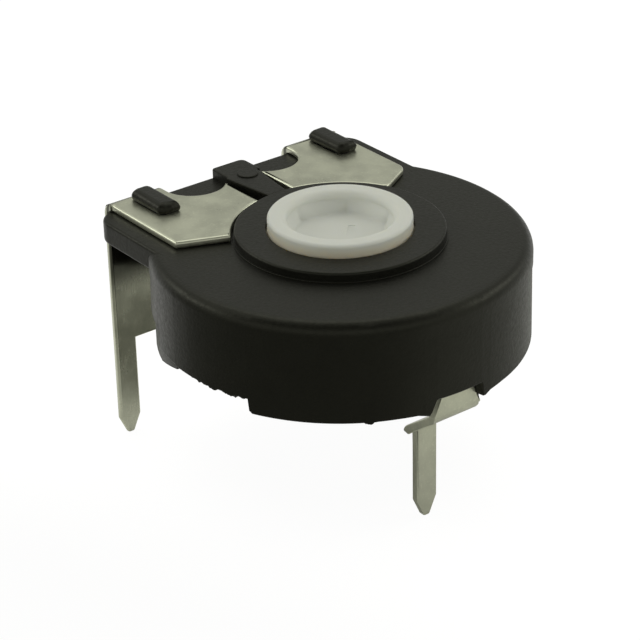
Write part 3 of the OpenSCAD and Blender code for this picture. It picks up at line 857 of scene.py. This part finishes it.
class TRIMMER_OT_terminals(bpy.types.Operator):
    """Builds the two end terminals and the wiper terminal from flat blanks, bent to shape"""

    bl_idname = "trimmer.terminals"
    bl_label = "Terminals"

    def execute(self, context):
        looks, shape = context.scene.trimmer_finishes, context.scene.trimmer_shape
        tin = tin_plate("tin plate", looks.tin_colour, looks.tin_roughness)
        bend = bend_rule()
        edge = shape.sheet_round
        wiper_edge = edge * 0.45
        left = dict(front=2.95, slant=22.8, outer=0.1, inner=0.05)
        right = dict(front=2.76, slant=30.1, outer=0.55, inner=0.25)
        self.end("left_terminal", "terminal_left", -1, left, tin, bend, edge)
        self.end("right_terminal", "terminal_right", 1, right, tin, bend, edge)
        self.wiper(tin, bend, wiper_edge)
        return {"FINISHED"}

    @staticmethod
    def plate_outline(front, slant, outer, inner):
        """Flat blank of an end terminal on the +X side, its leg laid out along +Y.

        front is where the outer side ends, slant the front edge's angle in degrees, and outer
        and inner are the radii of the front edge's two corners.
        """
        side, leg_out, leg_in, plate_in = 5.425, 5.475, 3.025, 0.85
        pin_x, pin_length, shoulder, ring_gap = 5.0, 4.0, 0.15, 0.1
        scoop_r, scoop_front = 1.24, 0.3
        board = BEND_Y + BEND_R * math.pi / 2 + PLATE_MID - BEND_R
        tip, taper = board + pin_length, board + pin_length - TIP_LENGTH
        ring = RING_R + ring_gap
        turn = math.radians(slant)
        edge = Vector((-math.cos(turn), -math.sin(turn)))
        inward = Vector((-math.sin(turn), math.cos(turn)))
        corner = Vector((side, front))
        round_y = front + outer * (1 - math.sin(turn)) / math.cos(turn)
        outer_c = Vector((side - outer, round_y))
        start = corner + inward * inner
        lead = start.dot(edge)
        reach = math.sqrt(lead * lead - start.dot(start) + (ring + inner) ** 2)
        inner_c = start - edge * (lead + reach)
        ring_end = inner_c * ring / inner_c.length
        outline = arc(inner_c, ring_end, inner_c - inward * inner, 5)
        outline += arc(outer_c, outer_c - inward * outer, (side, outer_c.y), 6)
        outline += rounded([
            (side, BEND_Y), (leg_out, BEND_Y), (leg_out, taper), (pin_x + TIP_HALF, tip, TIP_ROUND),
            (pin_x - TIP_HALF, tip, TIP_ROUND), (pin_x - PIN_HALF, taper),
            (pin_x - PIN_HALF, board - shoulder), (leg_in, board - shoulder, 0.04),
        ])
        scoop = Vector((leg_in - scoop_r, BEND_Y - scoop_front))
        drop = math.sqrt(scoop_r**2 - (plate_in - scoop.x) ** 2)
        outline += arc(scoop, (leg_in, scoop.y), (plate_in, scoop.y - drop), 20)
        ring_y = math.sqrt(ring**2 - plate_in**2)
        outline += arc((0, 0), (plate_in, ring_y), ring_end, 20)[:-1]
        return outline

    def end(self, name, node, side, plate, tin, bend, edge):
        """One end terminal. side is 1 on the +X side and -1 on the other."""
        slot_length, slot_width = 1.9, 0.7
        head_x, head_y = HEADS[0 if side < 0 else 1]
        slot = stadium(abs(head_x), head_y, slot_length, slot_width)
        rows = bend_rows(BEND_Y, 90)
        blank = prism([self.plate_outline(**plate), slot], DECK_Z, DECK_Z + SHEET, edge, 4, rows)
        piece = make_piece(name, [blank], tin)
        bend.apply(piece, Start=BEND_Y, Radius=BEND_R, Middle=PLATE_MID, Angle=90.0)
        tongue = [(0.86, 4.5), (1.14, 4.5), (1.14, 5.7), (0.86, 5.7)]
        tongue_low, tongue_top = 4.18, DECK_Z + 0.2
        absorb(piece, make_piece("tongue", [prism([tongue], tongue_low, tongue_top, 0.03)], tin))
        if side < 0:
            piece.data.transform(Matrix.Scale(-1, 4, (1, 0, 0)))
            piece.data.flip_normals()
        settle(piece, "housing", "tin_plate", node)

    @staticmethod
    def wiper(tin, bend, edge):
        """The collector ring, strip and pin of the wiper terminal, laid out along +Y, then turned.

        The strip runs out from the ring at the height middle, drops at the distance drop, and
        slopes back by the angle fold from the height fold_z to the pin.
        """
        middle, drop, fold, fold_z, slope = 3.1, 6.57, 54.5, 1.33, 2.0826
        half, shoulder, pin_length, pin_overlap = 1.08, 0.91, 3.88, 0.06
        ring_r, hole_r, peg_y, peg_r = 3.25, 2.05, 4.25, 0.45
        quarter, curve = BEND_R * math.pi / 2, BEND_R * math.radians(fold)
        trim = BEND_R * math.tan(math.radians(fold / 2))
        first = drop - BEND_R
        second = first + quarter + (middle - fold_z) - BEND_R - trim
        third = second + curve + slope - 2 * trim
        narrowing = second + 0.1
        pin = third + curve - pin_overlap
        end = pin + pin_length
        ring_y = math.sqrt(ring_r**2 - half**2)
        outline = arc((0, 0), (half, ring_y), (-half, ring_y), 60, the_long_way=True)[::-1]
        outline = [Vector((-p.x, p.y)) for p in outline]
        outline += rounded([
            (half, narrowing), (shoulder, pin, 0.04), (PIN_HALF, pin),
            (PIN_HALF, end - TIP_LENGTH), (TIP_HALF, end, TIP_ROUND), (-TIP_HALF, end, TIP_ROUND),
            (-PIN_HALF, end - TIP_LENGTH), (-PIN_HALF, pin), (-shoulder, pin, 0.04),
            (-half, narrowing),
        ])
        rows = bend_rows(first, 90) + bend_rows(second, fold) + bend_rows(third, fold)
        loops = [outline, circle(0, 0, hole_r, 48), circle(0, peg_y, peg_r, 24)]
        blank = prism(loops, middle - SHEET / 2, middle + SHEET / 2, edge, cuts=rows)
        piece = make_piece("wiper_strip", [blank], tin)
        for start, angle in ((third, -fold), (second, fold), (first, 90.0)):
            bend.apply(piece, Start=start, Radius=BEND_R, Middle=middle, Angle=angle)
        piece.data.transform(Matrix.Rotation(math.pi, 4, "Z"))
        settle(piece, "housing", "tin_plate", "wiper_terminal")


class TRIMMER_OT_rotor(bpy.types.Operator):
    """Builds the white rotor, whose round cup runs into a six-sided socket"""

    bl_idname = "trimmer.rotor"
    bl_label = "Rotor"

    # In millimetres: heights of the cup's floor, of its round mouth and of the collar's top,
    # half the socket's width and the mouth's radius, the disc, and the foot's lower end.
    floor, mouth, top = 6.05, 6.55, 6.9
    flat, cup = 1.65, 2.0
    disc_r, disc_low, disc_top = 5.3, 3.5, 3.95
    bottom = 2.35

    def execute(self, context):
        looks = context.scene.trimmer_finishes
        white = white_plastic("white rotor", looks.rotor_colour)
        body = turned(self.profile(), 180, self.socket)
        piece = make_piece("rotor_body", [body], white)
        carve(piece, self.cutters())
        absorb(piece, make_piece("lug", [self.lug_shell()], white))
        settle(piece, "rotor", "rotor_plastic", "rotor")
        return {"FINISHED"}

    def profile(self):
        """Radii and heights from the cup's floor over the collar, down to the slotted foot."""
        floor, mouth, top, flat, cup = self.floor, self.mouth, self.top, self.flat, self.cup
        lip, edge, collar, collar_low = 0.3, 0.15, 2.73, 6.24
        journal, journal_low, hub, stub, foot, foot_top = 2.8, 4.98, 3.05, 1.9, 1.5, 2.97
        outline = [(0.0, floor), (flat - 0.25, floor), (flat - 0.12, floor + 0.01)]
        outline.append((flat - 0.04, floor + 0.05))
        outline += [(flat, floor + rise) for rise in (0.12, 0.2, 0.3, 0.4)]
        outline += [(flat, mouth), (cup, mouth + 0.05)]
        outline += arc((cup + lip, top - lip), (cup, top - lip), (cup + lip, top), 8)[1:]
        rim = (collar - edge, top - edge)
        outline += arc(rim, (collar - edge, top), (collar, top - edge), 5)
        return outline + [
            (collar, collar_low), (journal, collar_low - 0.06), (journal, journal_low),
            (hub, journal_low), (hub, self.disc_top), (self.disc_r, self.disc_top),
            (self.disc_r, self.disc_low), (stub, self.disc_low), (stub, foot_top),
            (foot, foot_top), (foot, self.bottom), (0.0, self.bottom),
        ]

    def socket(self, angle, radius, height):
        """The cup's wall: a six-sided prism below that widens to a round mouth."""
        flat, cup, slack, soft, cone_rise = self.flat, self.cup, 0.01, 0.12, 0.1
        if radius > cup - slack or height > self.mouth + slack or height < self.floor - slack:
            return radius, height
        cone_low = self.floor + cone_rise
        off_flat = (angle - REST_TURN) % 60 - 30
        six = flat / math.cos(math.radians(off_flat))
        rise = max(0.0, (height - cone_low) / (self.mouth - cone_low))
        cone = flat + (cup - flat) * rise
        blend = soft * math.log(math.exp(six / soft) + math.exp(cone / soft))
        return min(blend, cup) - (flat - radius), height

    def cutters(self):
        """The groove of the mark on the cup's floor, and the slot under the foot."""
        mark_depth, slot_depth = 0.03, 0.4
        mark = rounded([
            (-0.1, -0.5, 0.08), (0.8, -0.5, 0.08), (0.8, -0.2, 0.08), (-0.1, -0.2, 0.08),
        ])
        slot = [(-1.2, -0.3), (1.2, -0.3), (1.2, 0.3), (-1.2, 0.3)]
        shells = [
            prism([mark], self.floor - mark_depth, self.floor + 0.2, 0),
            prism([slot], 2.0, self.bottom + slot_depth, 0),
        ]
        for shell in shells:
            shell.transform(Matrix.Rotation(math.radians(REST_TURN), 4, "Z"))
        return shells

    def lug_shell(self):
        """The stop lug on the disc's rim, 12 degrees wide."""
        outer, inner = 6.0, self.disc_r - 0.05
        turns = [math.radians(REST_TURN - 6 + 2 * k) for k in range(7)]
        ways = [Vector((math.cos(turn), math.sin(turn))) for turn in turns]
        outline = [way * outer for way in ways] + [way * inner for way in reversed(ways)]
        return prism([outline], self.disc_low + 0.02, self.disc_top - 0.02, 0.02)


def lamp(name, place, aim, size, power):
    """A soft lamp at a place in millimetres, aimed at a point."""
    data = bpy.data.lights.new(name, "AREA")
    data.shape = "RECTANGLE"
    data.size, data.size_y = size[0] * MM, size[1] * MM
    data.energy = power
    data.color = STUDIO_TINT
    made = bpy.data.objects.new(name, data)
    bpy.context.scene.collection.objects.link(made)
    made.location = Vector(place) * MM
    made.rotation_euler = (Vector(place) - Vector(aim)).to_track_quat("Z", "Y").to_euler()


class TRIMMER_OT_stage(bpy.types.Operator):
    """Builds the pale floor, the studio's light and the camera"""

    bl_idname = "trimmer.stage"
    bl_label = "Stage"

    def execute(self, context):
        stage = context.scene.trimmer_stage
        self.floor(lowest("terminal_left"))
        self.world(stage.surround)
        lamp("overhead", place=(30, 60, 160), aim=(0, 0, 4), size=(140, 140), power=stage.key_power)
        self.camera(stage.lens)
        return {"FINISHED"}

    @classmethod
    def floor(cls, floor_z):
        half = 2500.0
        mesh = bpy.data.meshes.new("floor")
        corners = [(-half, -half), (half, -half), (half, half), (-half, half)]
        mesh.from_pydata([(x * MM, y * MM, floor_z * MM) for x, y in corners], [], [(0, 1, 2, 3)])
        mesh.materials.append(cls.floor_finish())
        made = bpy.data.objects.new("floor", mesh)
        bpy.context.scene.collection.objects.link(made)

    @staticmethod
    def floor_finish():
        """A pale floor with painted shade: darker under the part and far to the left, as mirrors see it.

        Mirrors also see a painted reflection, a glow that is brighter to the rear. The camera sees mostly
        the floor's own glow, so that the shadow on it stays faint.
        """
        dark, pale, glow_strength, camera_share = (0.38, 0.38, 0.36), (0.85, 0.85, 0.82), 1.12, 0.85
        finish = Finish("pale floor")
        x, y = finish.axes()[:2]
        # Painted shade: the floor's colour darkens under the part and far to the left.
        clear = distance(x, y, (0.5, 1.0)).over(3.0, 8.0)
        bright = (x + y * 0.35).over(-13.0, -3.0) * clear
        tone = finish.mix(bright, rgba(dark), rgba(pale))
        lit = finish.node("ShaderNodeBsdfDiffuse", None, {"Color": tone})
        glow = finish.node("ShaderNodeEmission", None, {"Strength": glow_strength})
        rays = finish.node("ShaderNodeLightPath").outputs
        # Painted reflection: glossy rays see the floor glow, more towards the rear.
        mirrored = y.over(8.0, 14.0) * 0.35 + y.over(-12.0, -6.0) * 0.07 + 0.08
        mirrored_share = Sum(finish, rays["Is Glossy Ray"]) * bright * mirrored
        share = Sum(finish, rays["Is Camera Ray"]) * camera_share + mirrored_share
        both = finish.node("ShaderNodeMixShader", None, [share, lit.outputs[0], glow.outputs[0]])
        finish.tree.links.new(both.outputs[0], finish.output.inputs["Surface"])
        return finish.material

    @staticmethod
    def world(ceiling_strength):
        """A studio with light from above, the rear and both sides, and a dimmer front."""
        rear_strength, side_strength, front_strength, everywhere = 0.32, 2.4, 0.6, 0.1
        backdrop_strength = 1.05
        world = bpy.data.worlds.new("studio")
        bpy.context.scene.world = world
        world.use_nodes = True
        room = Tree(world.node_tree)
        x, y, z = room.split(room.node("ShaderNodeTexCoord").outputs["Generated"])
        rearward = x * REARWARD[0] + y * REARWARD[1]
        across = x * ACROSS[0] + y * ACROSS[1]
        ceiling = z.over(0.5, 0.95) * rearward.over(-0.5, 0.2) * ceiling_strength
        rear = rearward.over(-0.25, 0.5) * rear_strength
        low_band = z.over(0.22, 0.4) * (1 - z.over(0.6, 0.75))
        beside = (across * across).over(0.4, 0.75) * rearward.over(-0.3, 0.15)
        sides = beside * low_band * side_strength
        front = (1 - rearward.over(-0.3, 0.3)) * (1 - z.over(0.4, 0.65)) * front_strength
        strength = ceiling + rear + sides + front + everywhere
        light_words = {"Color": rgba(STUDIO_TINT), "Strength": strength}
        light = room.node("ShaderNodeBackground", None, light_words)
        seen = room.node("ShaderNodeBackground", None, {"Strength": backdrop_strength})
        rays = room.node("ShaderNodeLightPath").outputs["Is Camera Ray"]
        pick = room.node("ShaderNodeMixShader", None, [rays, light.outputs[0], seen.outputs[0]])
        output = room.node("ShaderNodeOutputWorld")
        room.tree.links.new(pick.outputs[0], output.inputs["Surface"])

    @staticmethod
    def camera(lens):
        """The camera that took the photo, as fitted to its round edges."""
        azimuth = math.radians(CAMERA_AZIMUTH)
        elevation = math.radians(CAMERA_ELEVATION)
        roll = math.radians(CAMERA_ROLL)
        back = Vector((
            math.sin(azimuth) * math.cos(elevation),
            -math.cos(azimuth) * math.cos(elevation),
            math.sin(elevation),
        ))
        right = Vector((math.cos(azimuth), math.sin(azimuth), 0.0))
        up = back.cross(right)
        turned_right = right * math.cos(roll) + up * math.sin(roll)
        turned_up = up * math.cos(roll) - right * math.sin(roll)
        data = bpy.data.cameras.new("photo camera")
        data.lens = lens
        data.sensor_width = 36.0
        data.clip_start = 1 * MM
        data.clip_end = 10.0
        made = bpy.data.objects.new("photo camera", data)
        bpy.context.scene.collection.objects.link(made)
        turn = Matrix((turned_right, turned_up, back)).transposed().to_4x4()
        made.matrix_world = Matrix.Translation(Vector(CAMERA_PLACE) * MM) @ turn
        bpy.context.scene.camera = made


OPERATORS = (
    TRIMMER_OT_inner_works,
    TRIMMER_OT_housing,
    TRIMMER_OT_terminals,
    TRIMMER_OT_rotor,
    TRIMMER_OT_stage,
)


class TRIMMER_PT_pieces(bpy.types.Panel):
    """Lists the pieces of the trimmer"""

    bl_idname = "TRIMMER_PT_pieces"
    bl_label = "Trimmer"
    bl_space_type = "VIEW_3D"
    bl_region_type = "UI"
    bl_category = "Trimmer"

    def draw(self, context):
        scene = context.scene
        for group in (scene.trimmer_shape, scene.trimmer_finishes, scene.trimmer_stage):
            for name in group.__annotations__:
                self.layout.prop(group, name)
        for operator in OPERATORS:
            self.layout.operator(operator.bl_idname)


GROUPS = (TrimmerShape, TrimmerFinishes, TrimmerStage)
CLASSES = GROUPS + OPERATORS + (TRIMMER_PT_pieces,)


def register():
    for made in CLASSES:
        bpy.utils.register_class(made)
    bpy.types.Scene.trimmer_shape = bpy.props.PointerProperty(type=TrimmerShape)
    bpy.types.Scene.trimmer_finishes = bpy.props.PointerProperty(type=TrimmerFinishes)
    bpy.types.Scene.trimmer_stage = bpy.props.PointerProperty(type=TrimmerStage)


def unregister():
    del bpy.types.Scene.trimmer_stage
    del bpy.types.Scene.trimmer_finishes
    del bpy.types.Scene.trimmer_shape
    for made in reversed(CLASSES):
        bpy.utils.unregister_class(made)


def main():
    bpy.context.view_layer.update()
    register()
    bpy.context.scene.view_settings.view_transform = "Standard"
    bpy.ops.trimmer.inner_works()
    bpy.ops.trimmer.housing()
    bpy.ops.trimmer.terminals()
    bpy.ops.trimmer.rotor()
    bpy.ops.trimmer.stage()


if __name__ == "__main__":
    main()
